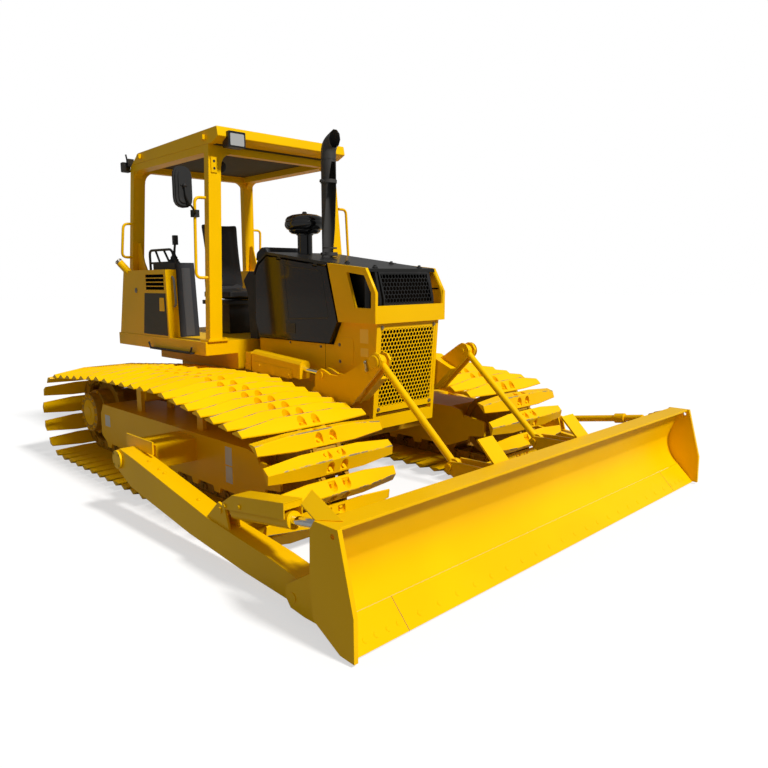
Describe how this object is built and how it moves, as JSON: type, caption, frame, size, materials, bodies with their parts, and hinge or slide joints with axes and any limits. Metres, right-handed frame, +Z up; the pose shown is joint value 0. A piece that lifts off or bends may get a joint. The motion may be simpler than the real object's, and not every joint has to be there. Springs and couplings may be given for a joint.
{
  "type": "bulldozer",
  "caption": "Small swamp bulldozer with wide triangular track shoes, straight tilt blade, bell-crank lift linkage and open four-post canopy.",
  "frame": {"origin": "on the ground under the middle of the machine's overall box", "axes": "+Y to the rear, blade towards -Y, +X to the machine's left, +Z up"},
  "size_m": [3.746, 4.6647, 2.818],
  "materials": {
    "yellow_paint": "gloss enamel",
    "black_paint": "satin enamel",
    "dark_panel": "gloss",
    "dark_grey_plastic": "matte",
    "seat_vinyl": "grained vinyl",
    "steel": "worn",
    "chrome": "polished",
    "cast_iron": "as cast"
  },
  "bodies": {
    "root": {"main_frame": "yellow_paint", "hitch": "yellow_paint", "track_frame_right": "yellow_paint", "track_frame_left": "yellow_paint", "track_right": "yellow_paint", "track_left": "yellow_paint", "idler_right": "yellow_paint", "idler_left": "yellow_paint", "sprocket_right": "yellow_paint", "sprocket_left": "yellow_paint", "rollers_right": "yellow_paint", "rollers_left": "yellow_paint", "radiator_guard": "yellow_paint", "front_grille": "yellow_paint", "upper_grille": "black_paint", "radiator_core": "black_paint", "engine_block": "cast_iron", "hood": "black_paint", "exhaust_stack": "black_paint", "precleaner": "black_paint", "platform": "yellow_paint", "fuel_tank": "yellow_paint", "left_console": "yellow_paint", "control_console": "dark_grey_plastic", "dashboard": "dark_grey_plastic", "seat_base": "dark_grey_plastic", "seat_cushion": "seat_vinyl", "seat_back": "seat_vinyl", "rops_frame": "yellow_paint", "roof": "yellow_paint", "handrails": "yellow_paint"},
    "arm_caps": {"trunnion_caps": "yellow_paint"},
    "blade": {"blade": "yellow_paint", "cutting_edge": "yellow_paint"},
    "push_arm_right": {"push_arm_right": "yellow_paint"},
    "push_arm_left": {"push_arm_left": "yellow_paint", "brace": "yellow_paint"},
    "tilt_cylinder": {"tilt_cylinder": "yellow_paint"},
    "tilt_rod": {"tilt_rod": "chrome"},
    "crank_right": {"crank_right": "yellow_paint"},
    "link_right": {"link_right": "yellow_paint"},
    "lift_cylinder_right": {"lift_cylinder_right": "yellow_paint"},
    "lift_rod_right": {"lift_rod_right": "chrome"},
    "engine_door_right": {"engine_door_right": "dark_panel"},
    "crank_left": {"crank_left": "yellow_paint"},
    "link_left": {"link_left": "yellow_paint"},
    "lift_cylinder_left": {"lift_cylinder_left": "yellow_paint"},
    "lift_rod_left": {"lift_rod_left": "chrome"},
    "engine_door_left": {"engine_door_left": "dark_panel"}
  },
  "joints": [
    {"name": "blade_lift", "type": "hinge", "parent": "root", "child": "arm_caps", "pos_m": [0, 0.146, 0.422], "axis": [-1, 0, 0], "range_deg": [-7.5, 20]},
    {"name": "blade_tilt", "type": "hinge", "parent": "arm_caps", "child": "blade", "pos_m": [0, -1.816, 0.129], "axis": [0.6529, 0.7491, 0.1119], "range_deg": [-3.3, 3.3]},
    {"name": "push_arm_right_swing", "type": "hinge", "parent": "arm_caps", "child": "push_arm_right", "pos_m": [-1.71, 0.146, 0.422], "axis": [1, 0, 0], "range_deg": [-2.17, 2.17]},
    {"name": "push_arm_left_swing", "type": "hinge", "parent": "arm_caps", "child": "push_arm_left", "pos_m": [1.71, 0.146, 0.422], "axis": [1, 0, 0], "range_deg": [-2.17, 2.17]},
    {"name": "tilt_cylinder_swing", "type": "hinge", "parent": "push_arm_right", "child": "tilt_cylinder", "pos_m": [-1.73, -1.115, 0.374], "axis": [1, 0, 0], "range_deg": [-1.08, 1.08]},
    {"name": "tilt_rod_slide", "type": "slide", "parent": "tilt_cylinder", "child": "tilt_rod", "axis": [0, -0.9883, 0.1528], "range_m": [-0.02647, 0.02647]},
    {"name": "crank_right_swing", "type": "hinge", "parent": "root", "child": "crank_right", "pos_m": [-0.465, -0.45, 0.78], "axis": [-1, 0, 0], "range_deg": [-14.57, 38.83]},
    {"name": "link_right_swing", "type": "hinge", "parent": "crank_right", "child": "link_right", "pos_m": [-0.465, -1.068, 1.082], "axis": [-1, 0, 0], "range_deg": [-16.24, 6.1]},
    {"name": "lift_cylinder_right_swing", "type": "hinge", "parent": "root", "child": "lift_cylinder_right", "pos_m": [-0.465, 0.42, 1.002], "axis": [-1, 0, 0], "range_deg": [-0.175, 0.45]},
    {"name": "lift_rod_right_slide", "type": "slide", "parent": "lift_cylinder_right", "child": "lift_rod_right", "axis": [0, -0.9976, -0.0687], "range_m": [-0.1125, 0.04225]},
    {"name": "crank_left_swing", "type": "hinge", "parent": "root", "child": "crank_left", "pos_m": [0.465, -0.45, 0.78], "axis": [-1, 0, 0], "range_deg": [-14.57, 38.83]},
    {"name": "link_left_swing", "type": "hinge", "parent": "crank_left", "child": "link_left", "pos_m": [0.465, -1.068, 1.082], "axis": [-1, 0, 0], "range_deg": [-16.24, 6.1]},
    {"name": "lift_cylinder_left_swing", "type": "hinge", "parent": "root", "child": "lift_cylinder_left", "pos_m": [0.465, 0.42, 1.002], "axis": [-1, 0, 0], "range_deg": [-0.175, 0.45]},
    {"name": "lift_rod_left_slide", "type": "slide", "parent": "lift_cylinder_left", "child": "lift_rod_left", "axis": [0, -0.9976, -0.0687], "range_m": [-0.1125, 0.04225]},
    {"name": "engine_door_right_hinge", "type": "hinge", "parent": "root", "child": "engine_door_right", "pos_m": [-0.365, -0.424, 1.716], "axis": [0, 0.9914, 0.1309], "range_deg": [0, 70]},
    {"name": "engine_door_left_hinge", "type": "hinge", "parent": "root", "child": "engine_door_left", "pos_m": [0.365, -0.424, 1.716], "axis": [0, -0.9914, -0.1309], "range_deg": [0, 70]}
  ],
  "couplings": [
    {"joint": "push_arm_right_swing", "follows": "blade_tilt", "ratio": -0.65291},
    {"joint": "push_arm_left_swing", "follows": "blade_tilt", "ratio": 0.65291},
    {"joint": "tilt_cylinder_swing", "follows": "blade_tilt", "ratio": 0.32248},
    {"joint": "tilt_rod_slide", "follows": "blade_tilt", "m_per_rad": 0.45607},
    {"joint": "crank_right_swing", "follows": "blade_lift", "ratio": 1.94},
    {"joint": "link_right_swing", "follows": "blade_lift", "ratio": -0.811},
    {"joint": "lift_cylinder_right_swing", "follows": "blade_lift", "ratio": 0.022},
    {"joint": "lift_rod_right_slide", "follows": "blade_lift", "m_per_rad": -0.32184},
    {"joint": "crank_left_swing", "follows": "blade_lift", "ratio": 1.94},
    {"joint": "link_left_swing", "follows": "blade_lift", "ratio": -0.811},
    {"joint": "lift_cylinder_left_swing", "follows": "blade_lift", "ratio": 0.022},
    {"joint": "lift_rod_left_slide", "follows": "blade_lift", "m_per_rad": -0.32184}
  ]
}
